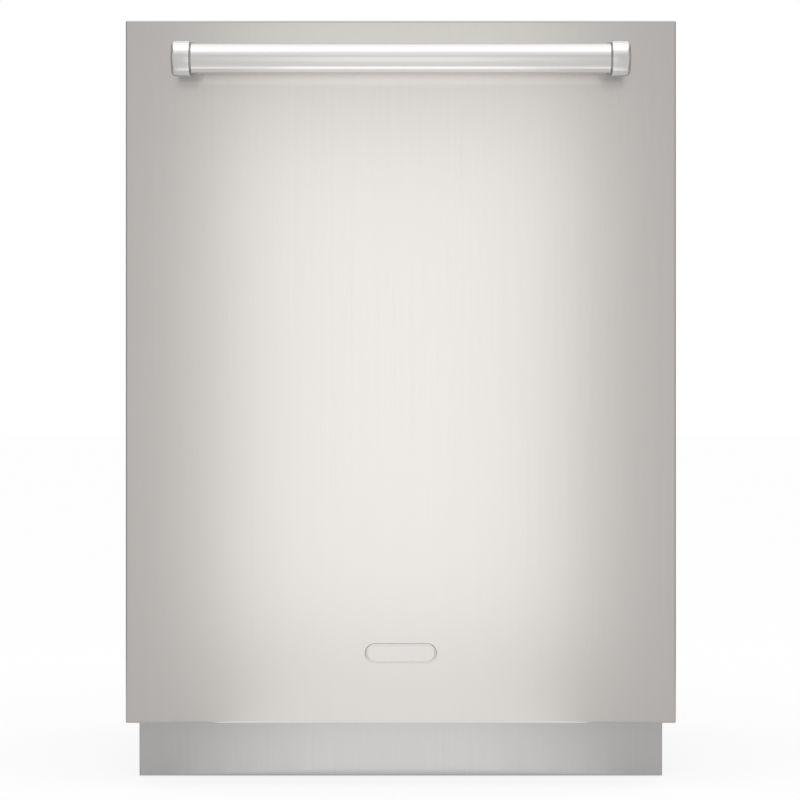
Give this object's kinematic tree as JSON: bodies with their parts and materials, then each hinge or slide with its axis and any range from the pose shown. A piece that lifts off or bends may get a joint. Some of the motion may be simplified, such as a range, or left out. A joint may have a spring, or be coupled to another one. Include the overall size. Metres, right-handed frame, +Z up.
{
  "type": "panel-ready dishwasher",
  "caption": "Built-in dishwasher with a flat brushed steel door panel, a tubular bar handle, a bare pill plate and a recessed kick, opening on a steel tub with two racks.",
  "frame": {"origin": "on the floor, under the middle of the overall box", "axes": "+Z up, +X right seen from the front, +Y from the door to the back"},
  "size_m": [0.597, 0.66, 0.832],
  "materials": {
    "panel_steel": "vertical brushed stainless steel",
    "handle_steel": "satin polished stainless tube and castings",
    "badge_metal": "satin aluminium, bare",
    "tub_steel": "bright rolled stainless sheet",
    "sheet_steel": "galvanised sheet",
    "shell_paint": "grey painted sheet",
    "side_paint": "grey coated sheet",
    "felt": "needled felt",
    "strip_plastic": "moulded ABS",
    "key_plastic": "moulded ABS, matt",
    "base_plastic": "moulded polypropylene",
    "grey_plastic": "moulded polypropylene, grey",
    "seal_rubber": "EPDM",
    "rack_coating": "nylon coated wire"
  },
  "bodies": {
    "cabinet": {"tub": "tub_steel", "tub_floor": "tub_steel", "tub_gasket": "seal_rubber", "tub_blanket": "felt", "top_frame": "sheet_steel", "countertop_brackets": "sheet_steel", "base_pan": "base_plastic", "kick_panel": "panel_steel", "sump": "grey_plastic", "fine_filter": "tub_steel", "filter_cup": "grey_plastic", "circulation_pump": "base_plastic", "drain_pump": "base_plastic", "feed_tube": "grey_plastic", "inlet_valve": "grey_plastic", "drain_outlet": "grey_plastic", "terminal_box": "sheet_steel", "air_break": "grey_plastic", "hinge_bracket_left": "sheet_steel", "hinge_bracket_right": "sheet_steel", "door_spring_left": "sheet_steel", "door_spring_right": "sheet_steel", "side_panel_left": "side_paint", "side_panel_right": "side_paint", "upper_rail_left": "tub_steel", "upper_rail_right": "tub_steel"},
    "door": {"door_panel": "panel_steel", "handle_bar": "handle_steel", "handle_ends": "handle_steel", "handle_screws": "sheet_steel", "badge_plate": "badge_metal", "door_shell": "shell_paint", "inner_liner": "tub_steel", "door_insulation": "felt", "control_strip": "strip_plastic", "dispenser_housing": "grey_plastic", "door_seal": "seal_rubber", "hinge_arm_left": "sheet_steel", "hinge_arm_right": "sheet_steel"},
    "power_key": {"power_button": "key_plastic"},
    "program_key": {"program_button": "key_plastic"},
    "start_key": {"start_button": "key_plastic"},
    "latch": {"latch_hook": "sheet_steel"},
    "detergent_lid": {"dispenser_lid": "grey_plastic"},
    "rinse_cap": {"rinse_aid_cap": "grey_plastic"},
    "upper_rack_body": {"upper_rack": "rack_coating"},
    "rail_left": {"middle_rail_left": "tub_steel"},
    "rail_right": {"middle_rail_right": "tub_steel"},
    "lower_rack_body": {"lower_rack": "rack_coating", "cutlery_basket": "grey_plastic"},
    "tine_row": {"fold_tines": "rack_coating"},
    "front_wheels": {"rack_wheels_1": "grey_plastic"},
    "middle_wheels": {"rack_wheels_2": "grey_plastic"},
    "back_wheels": {"rack_wheels_3": "grey_plastic"},
    "lower_arm": {"lower_spray_arm": "grey_plastic"},
    "middle_arm": {"middle_spray_arm": "grey_plastic"},
    "top_arm": {"top_spray_arm": "grey_plastic"},
    "foot_left": {"front_foot_left": "base_plastic"},
    "foot_right": {"front_foot_right": "base_plastic"},
    "feet_rear": {"rear_feet": "base_plastic"}
  },
  "joints": [
    {"name": "door_hinge", "type": "hinge", "parent": "cabinet", "child": "door", "pos_m": [0, -0.217, 0.14], "axis": [1, 0, 0], "range_deg": [0, 90], "stiffness_Nm_per_rad": 30, "springref_deg": -17.19, "deforming": ["door_spring_left", "door_spring_right"]},
    {"name": "upper_rack_slide", "type": "slide", "parent": "cabinet", "child": "upper_rack_body", "axis": [0, -1, 0], "range_m": [0, 0.45]},
    {"name": "rail_left_slide", "type": "slide", "parent": "cabinet", "child": "rail_left", "axis": [0, -1, 0], "range_m": [0, 0.225]},
    {"name": "rail_right_slide", "type": "slide", "parent": "cabinet", "child": "rail_right", "axis": [0, -1, 0], "range_m": [0, 0.225]},
    {"name": "lower_rack_slide", "type": "slide", "parent": "cabinet", "child": "lower_rack_body", "axis": [0, -1, 0], "range_m": [0, 0.15]},
    {"name": "front_wheels_turn", "type": "hinge", "parent": "lower_rack_body", "child": "front_wheels", "pos_m": [0, -0.087, 0.1883], "axis": [1, 0, 0], "range_deg": [0, 478]},
    {"name": "middle_wheels_turn", "type": "hinge", "parent": "lower_rack_body", "child": "middle_wheels", "pos_m": [0, 0.08, 0.1883], "axis": [1, 0, 0], "range_deg": [0, 478]},
    {"name": "back_wheels_turn", "type": "hinge", "parent": "lower_rack_body", "child": "back_wheels", "pos_m": [0, 0.247, 0.1883], "axis": [1, 0, 0], "range_deg": [0, 478]},
    {"name": "tine_fold", "type": "hinge", "parent": "lower_rack_body", "child": "tine_row", "pos_m": [-0.055, 0, 0.20611], "axis": [0, 1, 0], "range_deg": [0, 86]},
    {"name": "lower_arm_spin", "type": "hinge", "parent": "cabinet", "child": "lower_arm", "pos_m": [0, 0.049, 0.182], "axis": [0, 0, 1], "continuous": true},
    {"name": "middle_arm_spin", "type": "hinge", "parent": "upper_rack_body", "child": "middle_arm", "pos_m": [0, 0.049, 0.502], "axis": [0, 0, 1], "continuous": true},
    {"name": "top_arm_spin", "type": "hinge", "parent": "cabinet", "child": "top_arm", "pos_m": [0, 0.049, 0.782], "axis": [0, 0, 1], "continuous": true},
    {"name": "latch_release", "type": "hinge", "parent": "door", "child": "latch", "pos_m": [0, -0.226, 0.8105], "axis": [1, 0, 0], "range_deg": [-14, 0], "stiffness_Nm_per_rad": 0.4, "springref_deg": 8.59},
    {"name": "lid_slide", "type": "slide", "parent": "door", "child": "detergent_lid", "axis": [0, 0, 1], "range_m": [0, 0.058]},
    {"name": "rinse_cap_turn", "type": "hinge", "parent": "door", "child": "rinse_cap", "pos_m": [0.052, -0.202, 0.434], "axis": [0, 1, 0], "range_deg": [0, 90]},
    {"name": "power_press", "type": "slide", "parent": "door", "child": "power_key", "axis": [0, 0, -1], "range_m": [0, 0.0015], "stiffness_N_per_m": 500, "springref_m": -0.001},
    {"name": "program_press", "type": "slide", "parent": "door", "child": "program_key", "axis": [0, 0, -1], "range_m": [0, 0.0015], "stiffness_N_per_m": 500, "springref_m": -0.001},
    {"name": "start_press", "type": "slide", "parent": "door", "child": "start_key", "axis": [0, 0, -1], "range_m": [0, 0.0015], "stiffness_N_per_m": 500, "springref_m": -0.001},
    {"name": "left_foot_screw", "type": "slide", "parent": "cabinet", "child": "foot_left", "axis": [0, 0, 1], "range_m": [-0.045, 0]},
    {"name": "right_foot_screw", "type": "slide", "parent": "cabinet", "child": "foot_right", "axis": [0, 0, 1], "range_m": [-0.045, 0]},
    {"name": "rear_feet_screw", "type": "slide", "parent": "cabinet", "child": "feet_rear", "axis": [0, 0, 1], "range_m": [-0.045, 0]}
  ],
  "couplings": [
    {"joint": "upper_rack_slide", "follows": "door_hinge", "m_per_rad": 0.286},
    {"joint": "rail_left_slide", "follows": "door_hinge", "m_per_rad": 0.143},
    {"joint": "rail_right_slide", "follows": "door_hinge", "m_per_rad": 0.143},
    {"joint": "lower_rack_slide", "follows": "door_hinge", "m_per_rad": 0.0954},
    {"joint": "front_wheels_turn", "follows": "door_hinge", "ratio": 5.3},
    {"joint": "middle_wheels_turn", "follows": "door_hinge", "ratio": 5.3},
    {"joint": "back_wheels_turn", "follows": "door_hinge", "ratio": 5.3}
  ]
}
